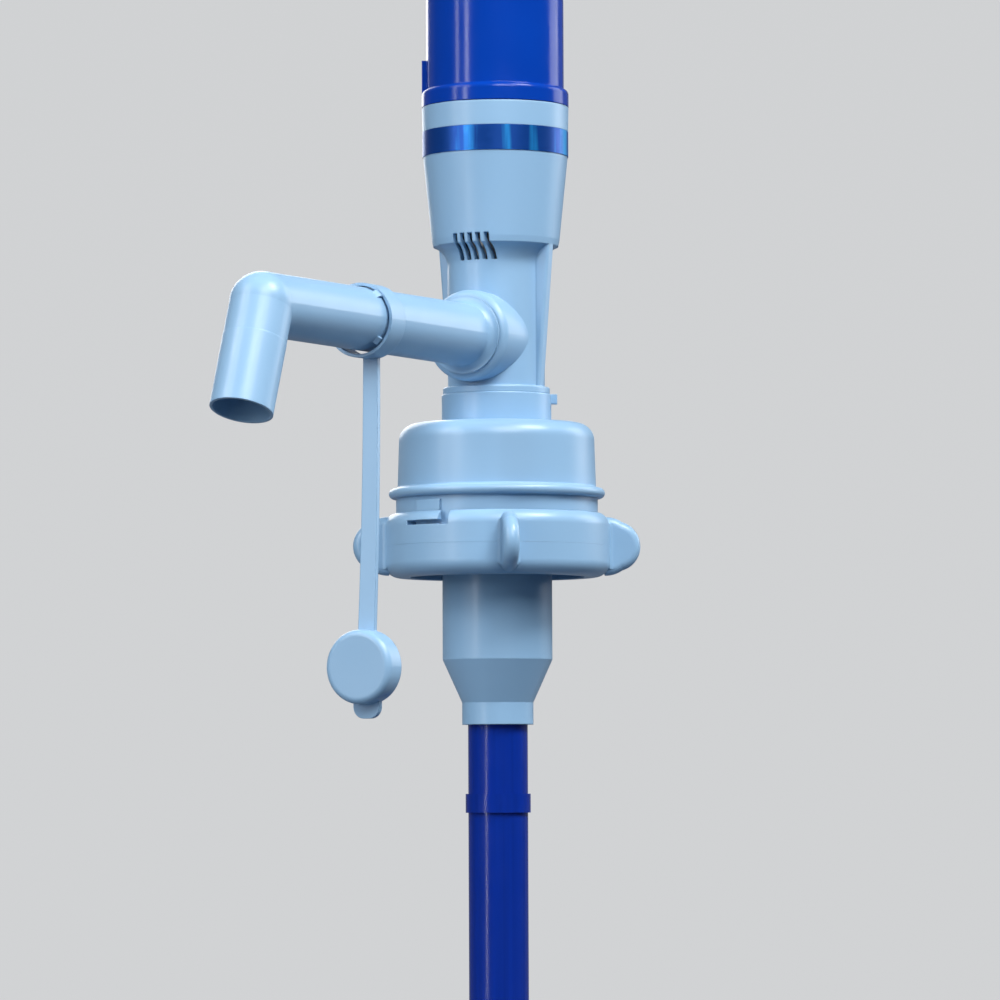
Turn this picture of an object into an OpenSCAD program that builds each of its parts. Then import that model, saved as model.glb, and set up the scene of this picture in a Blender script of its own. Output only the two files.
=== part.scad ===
// Electric pump for a large water bottle.
// The origin is on the pump's axis in the plane where the bottle's rim seats.
// +Z is up, and the spout points along -Y.

/* [Bottle fit] */
// Outside diameter of the bottle neck that the pump clamps
neck_d = 54.6; // [53:0.1:56]
// Room left round the bottle neck while the clamp is loose, on the radius
neck_room = 0.6; // [0.3:0.1:1]
// Depth of the riser's foot below the bottle's rim
reach = 465; // [320:5:520]

/* [Base] */
// Outside diameter of the dome over the bottle's mouth
dome_d = 62.4; // [61:0.2:66]
// Height of the dome's top above the seat
dome_h = 26; // [23:0.5:32]
// Draft of the dome's side from its shoulder to the flange, on the radius
dome_draft = 0.6; // [0.2:0.1:0.9]
// Wall of the dome
dome_wall = 2.2; // [1.6:0.1:3]
// Radius of the dome's rounded shoulder
shoulder_r = 5.5; // [4:0.5:7]
// Step from the dome out to the skirt, on the radius
skirt_step = 1; // [0.6:0.1:2]
// Length of the skirt below the seat
skirt_depth = 9; // [8.6:0.2:12]
// Height of the flange's underside above the seat
flange_z = 2; // [1:0.2:3]
// Thickness of the rounded flange
flange_t = 3.2; // [2.4:0.2:5]
// How far the flange stands out past the skirt
flange_lip = 2.3; // [1.5:0.1:3.5]
// How far the catch pads and the retaining rib stand out of the skirt
catch_rise = 0.8; // [0.5:0.1:1.2]
// Width of each catch pad in degrees
catch_sweep = 17.7; // [12:0.1:20]
// Turn of the first catch pad from the spout's direction in degrees
catch_turn = -14; // [-18:0.5:-10]
// Outside diameter of the neck ring that carries the pump body
ring_d = 35; // [34:0.1:38]
// Height of the neck ring above the dome
ring_h = 9.3; // [8:0.1:12]
// Width of the index lug on the neck ring
lug_w = 4; // [3:0.5:6]
// Height of the index lug
lug_h = 3; // [2:0.5:4]
// How far the index lug stands out of the neck ring
lug_rise = 1.9; // [1:0.1:2.5]
// Turn of the index lug from +X in degrees
lug_turn = 28; // [0:1:45]
// Thickness of the rubber seal on the bottle's rim
seal_t = 3; // [2:0.5:4]

/* [Clamp ring] */
// Wall of the clamp ring
clamp_wall = 2.5; // [2.2:0.1:3.5]
// Height of the clamp ring
clamp_h = 20.7; // [19:0.1:24]
// Depth of the clamp ring's top below the seat
clamp_drop = 2.4; // [1.8:0.1:3]
// Radius of the clamp ring's rounded outer edges
clamp_round = 4.6; // [2.6:0.1:5]
// Number of grip lugs round the clamp ring
grip_count = 4; // [3:1:6]
// Radius of a grip lug's rounded disc
grip_r = 8; // [6.5:0.1:9]
// Thickness of a grip lug
grip_t = 5; // [4:0.2:6]
// Radius of a grip lug's broad foot on the clamp ring
grip_foot_r = 9.4; // [8.6:0.1:10]
// Radius of the fillet on both sides of a grip lug
grip_fillet = 2; // [1:0.5:6]
// How far a grip lug reaches out past the clamp ring
grip_rise = 10.2; // [7:0.1:12]
// Turn of the first grip lug from the spout's direction in degrees
grip_turn = 34; // [20:1:60]
// Sweep of each spring tongue cut into the clamp ring in degrees
tongue_sweep = 21; // [16:1:26]
// Height of each spring tongue
tongue_h = 3.5; // [3:0.1:4]
// Width of the slits that free a tongue
slit_w = 1.4; // [1:0.1:1.8]
// Sweep of the wide slit at a tongue's tip in degrees
tip_sweep = 6; // [4:0.5:8]

/* [Riser] */
// Outside diameter of the adaptor below the base
adaptor_d = 35; // [33:0.1:37]
// Wall of the adaptor
adaptor_wall = 2; // [1.4:0.1:2.6]
// Depth at which the adaptor starts to taper
taper_z = 49.3; // [40:0.5:60]
// Height of the adaptor's taper
taper_h = 13.7; // [10:0.5:18]
// Length of the tube socket under the taper
socket_h = 7; // [5:0.5:12]
// Wall of the tube socket and of the tube joiner's sleeve
socket_wall = 1.8; // [1.2:0.1:2.4]
// Outside diameter of the riser tube
tube_d = 19; // [17:0.1:20]
// Wall of the riser tube
tube_wall = 1.2; // [0.8:0.1:1.6]
// Depth of the joint between the two tubes
joint_z = 95; // [88:1:140]
// Length of the sleeve over that joint
joiner_h = 6; // [5:0.5:20]
// Wall of the sleeve over that joint
joiner_wall = 0.8; // [0.6:0.1:2]
// Diameter of the drive shaft
shaft_d = 3; // [2.4:0.1:3.6]
// Number of shaft guides in the lower tube
guide_count = 2; // [1:1:4]
// Height of a shaft guide
guide_h = 6; // [4:0.5:10]
// Length of the foot that holds the impeller
foot_h = 36; // [32:1:45]
// Wall of the foot
foot_wall = 1.8; // [1.2:0.1:2.4]
// Number of inlet slots round the foot
inlet_count = 10; // [6:1:12]
// Width of an inlet slot
inlet_w = 2; // [1.2:0.1:2.6]
// Number of impeller blades
blade_count = 4; // [3:1:6]
// Pitch angle of the impeller blades in degrees
blade_pitch = 38; // [25:1:50]

/* [Pump body] */
// Diameter of the lower body
body_d = 31; // [30:0.1:32]
// Wall of the body
body_wall = 2.2; // [2:0.1:2.6]
// Diameter of the rim that sits on the neck ring
rim_d = 34.2; // [33:0.1:36]
// Height of that rim
rim_h = 2.2; // [1.6:0.1:3]
// Length of the lower body, from the rim's underside to the foot of the cove
column_h = 41.2; // [41:0.1:48]
// Height of the cove between the lower body and the cup
cove_h = 6.2; // [5.5:0.1:8]
// Diameter of the cup's lower edge
cup_low_d = 40.8; // [39:0.1:43]
// Diameter of the cup's top
cup_top_d = 47; // [46:0.1:50]
// Height of the cup above the cove
cup_h = 44.8; // [42:0.1:50]
// Height of the straight collar at the cup's top
collar_h = 16.5; // [15:0.1:20]
// Height of the lower edge of the foil band above the collar's foot
band_z = 0.5; // [0.2:0.1:2]
// Height of the foil band
band_h = 8; // [6:0.1:10]
// Thickness of the foil band
band_t = 0.3; // [0.2:0.05:0.5]
// Reach of the side wings at their foot, from the axis
wing_low = 16.3; // [16:0.1:18]
// Thickness of the side wings
wing_t = 4; // [3:0.1:6]
// Radius of the wings' rounded edges
wing_round = 1; // [0.4:0.1:1.4]
// Number of cooling slots over the spout
vent_count = 5; // [3:1:7]
// Spacing of the cooling slots
vent_pitch = 2.7; // [2.2:0.1:3]
// Width of a cooling slot
vent_w = 1.6; // [1:0.1:2]
// Height of a cooling slot
vent_h = 8.2; // [6:0.1:10]
// Height of the cooling slots' top above the cup's lower edge
vent_z = 2.9; // [2:0.1:5]
// Shift of the cooling slots to the side
vent_x = 1.4; // [-3:0.1:3]

/* [Spout] */
// Height of the spout's arm above the rim that sits on the neck ring
arm_h = 17.7; // [16:0.1:19]
// Diameter of the arm where it leaves the boss
arm_d = 19.8; // [18:0.1:20.4]
// Diameter of the arm at the elbow
elbow_d = 19; // [18:0.1:19.4]
// Bore of the spout
spout_bore = 16; // [14:0.1:16.4]
// Distance from the axis to the elbow
arm_reach = 147.5; // [130:0.5:160]
// Length of the outlet below the elbow
outlet_h = 34.5; // [28:0.5:45]
// Length of the outlet's slimmer start at the elbow
outlet_start = 12; // [11:0.5:16]
// Diameter of the outlet at its mouth
mouth_d = 19; // [18.6:0.1:19.8]
// Lean of the outlet away from straight down in degrees
outlet_lean = 20; // [0:1:40]
// Diameter of the boss that carries the spout
boss_d = 29; // [27:0.1:30]
// Distance from the axis to the boss's face
boss_reach = 21; // [20:0.1:25]
// Radius of the boss's rounded edge
boss_round = 2.5; // [1:0.1:3]
// Diameter of the flare that stops the spout at the boss
stop_d = 25; // [23:0.1:26]
// Thickness of that flare's edge
stop_t = 0.8; // [0.5:0.1:2]
// Wall of the spout at its mouth
mouth_wall = 0.8; // [0.6:0.1:1.4]
// Length over which the mouth's wall thins
mouth_taper = 8; // [4:0.5:12]
// Height of the bumps that keep the tether's ring on the arm
bump_rise = 0.9; // [0.6:0.1:1.4]

/* [Cap on its tether] */
// Distance from the axis to the near edge of the tether's ring
tether_y = 80.5; // [60:0.5:100]
// Width of the ring along the arm
tether_w = 8.5; // [6:0.5:12]
// Thickness of the ring
tether_t = 1; // [0.8:0.1:2]
// Slack of the ring round the arm, on the radius
tether_slack = 0.75; // [0.6:0.05:2]
// Length of the strap from the ring to the cap
strap_l = 83; // [60:0.5:110]
// Width of the strap at the ring
strap_top_w = 5; // [4:0.1:8]
// Width of the strap at the cap
strap_low_w = 5.6; // [4.4:0.1:9]
// Thickness of the strap
strap_t = 1.7; // [1.2:0.1:2.4]
// How far the strap bows out towards the cap
strap_bow = 3; // [2:0.5:10]
// Wall of the cap
cap_wall = 1.6; // [0.9:0.1:2]
// Depth of the cap's inside
cap_depth = 6.2; // [5:0.1:10]
// Radius of the cap's rounded face edge
cap_round = 2; // [0.6:0.1:2.2]
// Width of the pull tab
tab_w = 9; // [6:0.5:12]
// How far the pull tab stands out of the cap
tab_rise = 4.3; // [3:0.1:6]

/* [Handle] */
// Diameter of the handle
handle_d = 44; // [42:0.1:45]
// Wall of the handle
handle_wall = 1.8; // [1.4:0.1:2.2]
// Length of the handle from the body to its cap
handle_h = 80.5; // [80:0.5:100]
// Height of the ring at the handle's foot
foot_ring_h = 5.7; // [4.5:0.1:7]
// Radius of that ring's rounded upper edge
foot_ring_c = 1.7; // [0.8:0.1:1.9]
// Height of the boss over the charging socket, above the ring
port_h = 9.6; // [9.4:0.1:12]
// Half the sweep of that boss in degrees
port_half = 30; // [20:1:40]
// Height of the rounded cap on the handle
cap_h = 8.5; // [7.5:0.1:12]
// Radius of that cap's rounded edge
cap_edge = 6; // [3:0.5:7]
// Diameter of the power button
button_d = 16.6; // [14:0.1:18]
// How far the power button stands out of the cap
button_rise = 3; // [2.6:0.1:5]
// Travel of the power button
button_travel = 2; // [1:0.1:2.4]
// Diameter of the indicator lens
lens_d = 3.2; // [2:0.1:4]

/* [Drive and power] */
// Diameter of the motor
motor_d = 24.2; // [22:0.1:24.4]
// Length of the motor
motor_h = 30.5; // [26:0.5:38]
// Diameter of the motor's shaft
motor_shaft_d = 2.3; // [1.8:0.1:2.6]
// Thickness of the plate that carries the motor
plate_t = 4; // [3:0.1:5]
// Height of the plate's rim round the motor
plate_rim = 5; // [3:0.5:8]
// Diameter of a battery cell
cell_d = 14.2; // [13:0.1:14.4]
// Length of a battery cell
cell_l = 49.4; // [44:0.1:50.5]
// Thickness of the cell carrier's plates
carrier_t = 2; // [1.5:0.1:3]
// Thickness of the control board
board_t = 1.6; // [1:0.1:2]
// Size of the push switch's square case
switch_w = 9; // [7:0.5:12]
// Bore of the charging socket
jack_bore = 5.5; // [4:0.1:5.6]
// Diameter of a motor lead
lead_d = 1.6; // [1:0.1:2]

/* [Fits] */
// Gap between round pieces that are fitted together, on the radius
fit = 0.05; // [0.02:0.01:0.1]
// Gap between pieces that slide or turn loosely past each other
loose = 0.3; // [0.2:0.05:0.5]

/* [Hidden] */
$fn = 72;

// Overlap that makes cuts and joins clean
eps = 0.02;
// How far a cut runs past the face that it opens
over = 1;

// Base
neck_hole_r = neck_d / 2 + neck_room;
dome_r = dome_d / 2;
dome_in = dome_r - dome_wall;
skirt_r = dome_r + skirt_step;
neck_step = 2;
skirt_in = neck_hole_r + neck_step;
flange_r = skirt_r + flange_lip;
catch_r = skirt_r + catch_rise;
flange_top = flange_z + flange_t;
flange_fillet = 1;
fillet_bite = 0.25;
flange_foot = dome_r + dome_draft + flange_fillet - fillet_bite;
ring_edge = 0.4;
catch_top = 0.6;
catch_h = 5.1;
rib_h = 1.5;
ring_r = ring_d / 2;
ceiling = dome_h - dome_wall;
ring_top = dome_h + ring_h;
ledge_t = 2;
ledge_gap = 5.5;
ledge_in = adaptor_d / 2 + ledge_gap;
sleeve_h = 13;
sleeve_wall = 2;

// Clamp ring
catch_room = 0.4;
clamp_in = catch_r + catch_room;
clamp_r = clamp_in + clamp_wall;
clamp_top = -clamp_drop;
clamp_low = clamp_top - clamp_h;
lip_t = 2;
rib_in = skirt_r + loose;
rib_top = -skirt_depth + rib_h + loose;
grip_axis_r = clamp_r + grip_rise - grip_r;
grip_foot_inset = 1;
grip_foot_at = clamp_r - grip_foot_inset;
fillet_lap = 0.1;
web_inset = 1;
// A lug's fillet is limited by the web that carries it
lug_fillet = min(grip_fillet, grip_foot_r - web_inset - grip_t / 2 - fillet_lap);
grip_drop = 0.4;
grip_z = (clamp_top + clamp_low) / 2 - grip_drop;
slit_z = clamp_top - tongue_h - slit_w;
tip_drop = 0.2;
collet_top = -skirt_depth - loose;
collet_low = clamp_low + lip_t + loose;
collet_slots = 8;
collet_slot_w = 2.5;
collet_bridge = 2.9;

// Riser
adaptor_r = adaptor_d / 2;
tube_r = tube_d / 2;
tube_in = tube_r - tube_wall;
socket_in = tube_r + fit;
socket_r = socket_in + socket_wall;
taper_low = -taper_z - taper_h;
socket_low = taper_low - socket_h;
stop_lap = 3;
tube_stop_t = 1;
tube_stop = taper_low + stop_lap;
gasket_t = 1.5;
adaptor_top = ceiling - gasket_t;
shaft_r = shaft_d / 2;
guide_hole = shaft_r + fit;
guide_wall = 1.6;
guide_hub = shaft_r + guide_wall;
guide_rim = 1;
spoke_w = 1.2;
spoke_count = 3;
foot_low = -reach;
foot_top = foot_low + foot_h;
foot_r = socket_in + foot_wall;
foot_lap = 10;
tube_low = foot_top - foot_lap;
impeller_r = tube_in - loose;
impeller_h = 7;
impeller_gap = 1.5;
impeller_top = tube_low - impeller_gap;
impeller_low = impeller_top - impeller_h;
inlet_top = impeller_low - impeller_gap;
blade_t = 1;
hub_lap = 1;
bush_wall = 2.2;
bush_r = shaft_r + bush_wall;
bush_flange = 0.8;
bush_land = 1.2;
bush_h = 4;
foot_floor = 2;
inlet_sill = 2;
shaft_inset = 0.5;

// Pump body
body_r = body_d / 2;
body_in = body_r - body_wall;
ring_in = body_r + fit;
rim_r = rim_d / 2;
rim_low = ring_top;
spigot_low = dome_h + loose;
cove_low = rim_low + column_h;
cup_low_r = cup_low_d / 2;
cup_edge = 0.4;
cup_edge_r = cup_low_r - cup_edge;
cove_step = cup_edge_r - body_r;
cove_r = (cove_h * cove_h + cove_step * cove_step) / (2 * cove_step);
cup_low = cove_low + cove_h;
hollow_cone_h = 3.7;
edge_round = 0.5;
cup_r = cup_top_d / 2;
body_top = cup_low + cup_h;
collar_low = body_top - collar_h;
collar_relief = 0.1;
collar_in = cup_r - body_wall - collar_relief;
collar_step = 1;
collar_draft = 0.4;
band_floor = cup_r - collar_draft - band_t;
band_proud = 0.05;
band_r = cup_r - collar_draft * (1 - (band_z + band_h) / collar_h) + band_proud;
cup_chamfer = 2;
vent_top = cup_low + vent_z;
arm_z = rim_low + arm_h;
spigot_step = 0.2;
spigot_r = arm_d / 2 - spigot_step;
boss_in = spigot_r + fit;
seat_z = arm_z + boss_in + fit;
seat_w = 1.2;
seat_t = 1.5;
plate_top = seat_z + plate_t;

// Spout
stop_y = boss_reach + loose;
stop_end = stop_y + stop_t;
arm_r = arm_d / 2;
flare_r = stop_d / 2 - arm_r;
flare_sink = 0.15;
elbow_r = elbow_d / 2;
bore_r = spout_bore / 2;
mouth_r = mouth_d / 2;
spigot_end = body_in + loose;
ring_cord = 0.5;
groove_y = (spigot_end + boss_reach) / 2;
bump_w = 2.6;
bump_l = 2.8;
bump_flat = 0.8;
bump_sink = 0.3;
bump_root = 1;
// How far the elbow's sphere swells past its tubes, outside and in
elbow_step = 0.08;
outlet_step = 0.08;

// Drive
// Room round an O-ring in its groove
cord_room = 0.01;
groove_room = 0.1;
body_cord = 0.7;
body_seal_z = (spigot_low + rim_low) / 2;
coupling_h = 10;
coupling_gap = 1.5;
coupling_top = seat_z - coupling_gap;
coupling_mid = coupling_top - coupling_h / 2;
coupling_r = 3.6;
screw_ring = 8;
screw_r = 1.25;
screw_head_r = 2.3;
screw_head_h = 1.4;
screw_bite = 2.5;
screw_room = 0.5;
seal_r = 4;
motor_hub_wall = 1.6;
motor_hub_r = motor_shaft_d / 2 + motor_hub_wall;
motor_hub_h = 1;
hub_floor = plate_top - motor_hub_h - groove_room;
motor_end_h = 1.5;
motor_end_step = 2;
motor_bearing = 2.5;
shaft_end_room = 0.5;
terminal_r = 7;
lead_bend_r = 2.4;

// Cap on its tether
arm_at_tether = arm_r + (elbow_r - arm_r) * (tether_y - stop_end) / (arm_reach - stop_end);
tether_in = arm_at_tether + tether_slack;
tether_r = tether_in + tether_t;
tether_hang = tether_slack - loose;
cap_slack = 0.25;
cap_in = mouth_r + cap_slack;
cap_r = cap_in + cap_wall;
cap_face_t = 1.4;
cap_z = -tether_hang - tether_r - strap_l - cap_r;
strap_curve = strap_l * strap_l / (2 * strap_bow);
cap_rim_y = tether_y + strap_bow;
tab_t = 1.8;
tab_round = 3.6;
// Room that the strap's cutting shapes leave round it
strap_margin = 4;

// Handle
handle_r = handle_d / 2;
handle_in = handle_r - handle_wall;
handle_top = body_top + handle_h;
plug_h = 6.5;
plug_r = collar_in - fit;
port_top = body_top + foot_ring_h + port_h;
shelf_z = 3.5;
shelf_t = 2;
shelf_w = 1.3;
link_room = 0.5;
shelf_in = handle_in - shelf_w;
cell_r = cell_d / 2;
cell_gap = 0.4;
cell_ring = (cell_d + cell_gap) / sqrt(2);
link_t = 0.3;
link_w = 4;
link_end = 3;
nub_h = 0.9;
nub_r = 2.6;
post_h = 4.4;
post_r = 1.6;
post_inset = 3;
board_room = 1.2;
board_r = handle_in - board_room;
switch_h = 6;
switch_floor = 1;
plunger_r = 2;
plunger_rise = 0.4;
cap_top = handle_top + cap_h;
cap_skin = 2.5;
cap_plug_h = 4;
cap_plug_wall = 1.6;
cap_plug_in = handle_in - cap_plug_wall;
button_r = button_d / 2;
guide_in = button_r + loose;
guide_drop = 2;
guide_t = 1.6;
guide_low = handle_top - guide_drop;
button_flange = 1.4;
button_flange_t = 2;
button_round = 2;
stem_r = 2.6;
stem_least = 0.5;
button_flange_low = guide_low - loose - button_flange_t;
cell_stack = link_room + cell_l + nub_h + link_t + fit;
board_stack = post_h + board_t + switch_h + button_travel + plunger_rise;
stack_h = cell_stack + board_stack + 2 * carrier_t;
carrier_low = min(body_top + shelf_z, button_flange_low - stem_least - stack_h);
cell_low = carrier_low + carrier_t + link_room;
cell_top = cell_low + cell_l + nub_h;
carrier_top = cell_top + link_t + fit;
board_z = carrier_top + carrier_t + post_h;
switch_low = board_z + board_t;
plunger_top = switch_low + switch_h + button_travel + plunger_rise;
plunger_low = switch_low + switch_floor + button_travel;
lens_gap = 1.5;
lens_proud = 0.3;
lens_y = guide_in + guide_t + lens_gap + lens_d / 2;
jack_z = body_top + foot_ring_h + port_h / 2;
jack_wall = 0.95;
jack_r = jack_bore / 2 + jack_wall;
jack_recess = 0.4;
jack_pin_r = 1;
jack_pin_recess = 2;
jack_floor = 1;
jack_w = 9;
jack_back = cell_ring / sqrt(2) + cell_r + loose;
jack_front = sqrt(handle_in * handle_in - jack_w * jack_w / 4) - loose;
lead_ring = shelf_in - lead_d / 2 - loose;

base_blue = [0.62, 0.78, 0.92];
deep_blue = [0.04, 0.22, 0.68];
tube_blue = [0.06, 0.25, 0.7];
rubber = [0.2, 0.2, 0.22];
steel = [0.72, 0.73, 0.75];

// A full ring of rectangular section
module ring(outer, inner, low, high) {
  rotate_extrude() translate([inner, low]) square([outer - inner, high - low]);
}

// A round bar along the axis
module bar(radius, low, high) {
  translate([0, 0, low]) cylinder(r = radius, h = high - low);
}

// What rounds off the outer corner at a point.
// Quarter 0 has its material up and right, and the others follow counter-clockwise.
module corner(at, radius, quarter) {
  translate(at) rotate(90 * quarter) difference() {
    translate([-eps, -eps]) square(radius + eps);
    translate([radius, radius]) circle(radius);
  }
}

// An O-ring
module o_ring(radius, cord, height) {
  translate([0, 0, height]) rotate_extrude() translate([radius, 0]) circle(cord);
}

// The spout's own frame: Z runs out along the arm from the pump's axis, and Y is up
module along_arm() {
  translate([0, 0, arm_z]) rotate([90, 0, 0]) children();
}

// Copies turned about the axis
module around(count, first = 0) {
  for (i = [0 : count - 1]) rotate(first + 360 * i / count) children();
}

// A sector of a ring, centred on the spout's direction
module sector(outer, inner, low, high, sweep) {
  rotate(-90 - sweep / 2) rotate_extrude(angle = sweep)
    translate([inner, low]) square([outer - inner, high - low]);
}

module base_profile() {
  difference() {
    union() {
      difference() {
        translate([0, flange_z]) square([dome_r, dome_h - flange_z]);
        corner([dome_r, dome_h], shoulder_r, 2);
      }
      polygon([[dome_r - eps, flange_z], [dome_r + dome_draft, flange_z],
        [dome_r, dome_h - shoulder_r], [dome_r - eps, dome_h - shoulder_r]]);
      translate([0, flange_z]) square([flange_r - flange_t / 2, flange_t]);
      translate([flange_r - flange_t / 2, flange_z + flange_t / 2]) circle(d = flange_t);
      translate([0, -skirt_depth]) square([skirt_r, skirt_depth + flange_z + eps]);
      translate([0, -skirt_depth]) square([catch_r, rib_h]);
      translate([0, dome_h - eps]) square([ring_r, ring_h + eps]);
      difference() {
        translate([dome_in, flange_top - eps]) square([flange_foot - dome_in, flange_fillet]);
        translate([flange_foot, flange_top + flange_fillet]) circle(flange_fillet);
      }
    }
    corner([ring_r, ring_top], ring_edge, 2);
    translate([0, -skirt_depth - eps]) square([skirt_in, skirt_depth + seal_t + eps]);
    translate([0, seal_t]) square([ledge_in, ledge_t + eps]);
    difference() {
      translate([0, seal_t + ledge_t]) square([dome_in, ceiling - seal_t - ledge_t]);
      corner([dome_in, ceiling], shoulder_r - dome_wall, 2);
    }
    translate([0, ceiling - eps]) square([body_in, dome_wall + 2 * eps]);
    translate([0, dome_h]) square([ring_in, ring_h + eps]);
  }
  translate([adaptor_r + fit, ceiling - sleeve_h]) square([sleeve_wall, sleeve_h + eps]);
}

module base_cup() {
  color(base_blue) {
    rotate_extrude() base_profile();
    around(2, catch_turn)
      sector(catch_r, skirt_r - eps, catch_top - catch_h, catch_top, catch_sweep);
    rotate(lug_turn) translate([ring_r - over, -lug_w / 2, ring_top - lug_h])
      cube([lug_rise + over, lug_w, lug_h]);
  }
}

module neck_seal() {
  color(rubber) ring(skirt_in - fit, ledge_in, 0, seal_t);
}

module grip_collet() {
  color(base_blue) difference() {
    ring(clamp_in - loose, neck_hole_r, collet_low, collet_top);
    around(collet_slots) translate([neck_hole_r - over, -collet_slot_w / 2, collet_low - over])
      cube([clamp_in - neck_hole_r + over, collet_slot_w, collet_top - collet_low - collet_bridge + over]);
  }
}

module clamp_profile() {
  difference() {
    translate([0, clamp_low]) square([clamp_r, clamp_h]);
    translate([0, clamp_low + lip_t]) square([clamp_in, clamp_h - lip_t + eps]);
    translate([0, clamp_low - eps]) square([neck_hole_r, lip_t + 2 * eps]);
    corner([clamp_r, clamp_top], clamp_round, 2);
    corner([clamp_r, clamp_low], clamp_round, 1);
  }
  translate([rib_in, rib_top]) square([clamp_in - rib_in + eps, rib_h]);
}

// A disc with a fully rounded rim that stands in the plane of the pump's axis
module grip_disc(radius, at, thick) {
  translate([at, 0, grip_z]) rotate([90, 0, 0]) rotate_extrude() {
    translate([0, -thick / 2]) square([radius - thick / 2, thick]);
    translate([radius - thick / 2, 0]) intersection() {
      circle(d = thick);
      translate([-eps, -thick]) square(2 * thick);
    }
  }
}

// The hollow beside a lug's web, a bent bar that follows the ring's side and its rounded edges
module grip_hollow(side_y, out) {
  bend_r = clamp_round + lug_fillet;
  hollow_r = lug_fillet + fillet_lap;
  translate([out, side_y, clamp_low + clamp_round]) cylinder(r = hollow_r, h = clamp_h - 2 * clamp_round);
  for (end = [[clamp_top - clamp_round, 90], [clamp_low + clamp_round, -90]])
    translate([out - bend_r, side_y, end[0]]) rotate([end[1], 0, 0])
      rotate_extrude(angle = 90) translate([bend_r, 0]) circle(hollow_r);
}

// The web that fills the corners between a lug's foot and the ring, rounded off at its ends
module grip_web() {
  side_y = grip_t / 2 + lug_fillet;
  out = sqrt(pow(clamp_r + lug_fillet, 2) - side_y * side_y);
  difference() {
    intersection() {
      grip_disc(grip_foot_r - web_inset, grip_foot_at, 2 * side_y);
      translate([clamp_in, -side_y - over, clamp_low]) cube([out - clamp_in, 2 * (side_y + over), clamp_h]);
    }
    grip_hollow(side_y, out);
    grip_hollow(-side_y, out);
  }
}

module grip_lug() {
  grip_disc(grip_r, grip_axis_r, grip_t);
  grip_disc(grip_foot_r, grip_foot_at, grip_t);
  grip_web();
}

module clamp_ring() {
  tip_turn = catch_turn + tongue_sweep / 2 + tip_sweep / 2;
  color(base_blue) difference() {
    union() {
      rotate_extrude() clamp_profile();
      difference() {
        around(grip_count, grip_turn - 90) grip_lug();
        bar(clamp_in + clamp_wall / 2, clamp_low - over, clamp_top + over);
      }
    }
    around(2) {
      rotate(catch_turn + tip_sweep / 4)
        sector(clamp_r + over, skirt_r, slit_z, slit_z + slit_w, tongue_sweep + tip_sweep / 2);
      rotate(tip_turn)
        sector(clamp_r + 2 * over, skirt_r - over, slit_z - tip_drop, clamp_top + over, tip_sweep);
    }
  }
}

module tube_adaptor() {
  color(base_blue) rotate_extrude() difference() {
    polygon([[0, adaptor_top], [adaptor_r, adaptor_top], [adaptor_r, -taper_z],
      [socket_r, taper_low], [socket_r, socket_low], [0, socket_low]]);
    polygon([[0, adaptor_top + over], [adaptor_r - adaptor_wall, adaptor_top + over],
      [adaptor_r - adaptor_wall, -taper_z], [tube_in, tube_stop + tube_stop_t], [tube_in, tube_stop - eps],
      [0, tube_stop - eps]]);
    translate([0, socket_low - over]) square([socket_in, tube_stop - socket_low + over]);
  }
}

module adaptor_seal() {
  color(rubber) ring(adaptor_r, adaptor_r - adaptor_wall, adaptor_top, ceiling);
}

module riser_upper() {
  color(tube_blue) ring(tube_r, tube_in, -joint_z, tube_stop);
}

module tube_joiner() {
  color(tube_blue) ring(socket_in + joiner_wall, socket_in, -joint_z - joiner_h / 2, -joint_z + joiner_h / 2);
}

module riser_lower() {
  color(tube_blue) ring(tube_r, tube_in, tube_low, -joint_z - loose);
}

// A hub on three spokes that keeps the shaft in the middle of the tube
module shaft_guide() {
  difference() {
    union() {
      bar(guide_hub, 0, guide_h);
      around(spoke_count) translate([0, -spoke_w / 2, 0]) cube([tube_in - guide_rim / 2, spoke_w, guide_h]);
      ring(tube_in - fit, tube_in - guide_rim, 0, guide_h);
    }
    bar(guide_hole, -over, guide_h + over);
  }
}

module shaft_guides() {
  first = -joint_z - joiner_h;
  color("white") {
    translate([0, 0, tube_stop - 2 * guide_h]) shaft_guide();
    for (i = [1 : guide_count])
      translate([0, 0, first + (tube_low - first) * i / (guide_count + 1)]) shaft_guide();
  }
}

module drive_shaft() {
  color(steel) bar(shaft_r, foot_low + shaft_inset, coupling_mid);
}

module shaft_coupling() {
  color(steel) difference() {
    bar(coupling_r, coupling_top - coupling_h, coupling_top);
    bar(motor_shaft_d / 2 + fit, coupling_mid, coupling_top + over);
    bar(shaft_r + fit, coupling_top - coupling_h - over, coupling_mid + eps);
  }
}

module impeller() {
  color("white") difference() {
    union() {
      bar(guide_hub, impeller_low, impeller_top);
      intersection() {
        bar(impeller_r, impeller_low, impeller_top);
        around(blade_count) translate([0, 0, (impeller_low + impeller_top) / 2])
          rotate([blade_pitch, 0, 0]) translate([guide_hub - hub_lap, -blade_t / 2, -2 * impeller_h])
            cube([impeller_r, blade_t, 4 * impeller_h]);
      }
    }
    bar(guide_hole, impeller_low - over, impeller_top + over);
  }
}

module inlet_foot() {
  color(tube_blue) difference() {
    bar(foot_r, foot_low, foot_top);
    bar(socket_in, tube_low, foot_top + over);
    bar(tube_in, foot_low + foot_floor, tube_low + eps);
    bar(bush_r + fit, foot_low - over, foot_low + foot_floor + over);
    around(inlet_count) translate([bush_r + bush_land, -inlet_w / 2, foot_low + foot_floor + inlet_sill])
      cube([foot_r, inlet_w, inlet_top - foot_low - foot_floor - inlet_sill]);
  }
}

module foot_bush() {
  color([0.72, 0.55, 0.25]) {
    ring(bush_r, guide_hole, foot_low, foot_low + foot_floor);
    ring(bush_r + bush_flange, guide_hole, foot_low + foot_floor, foot_low + bush_h);
  }
}

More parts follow.
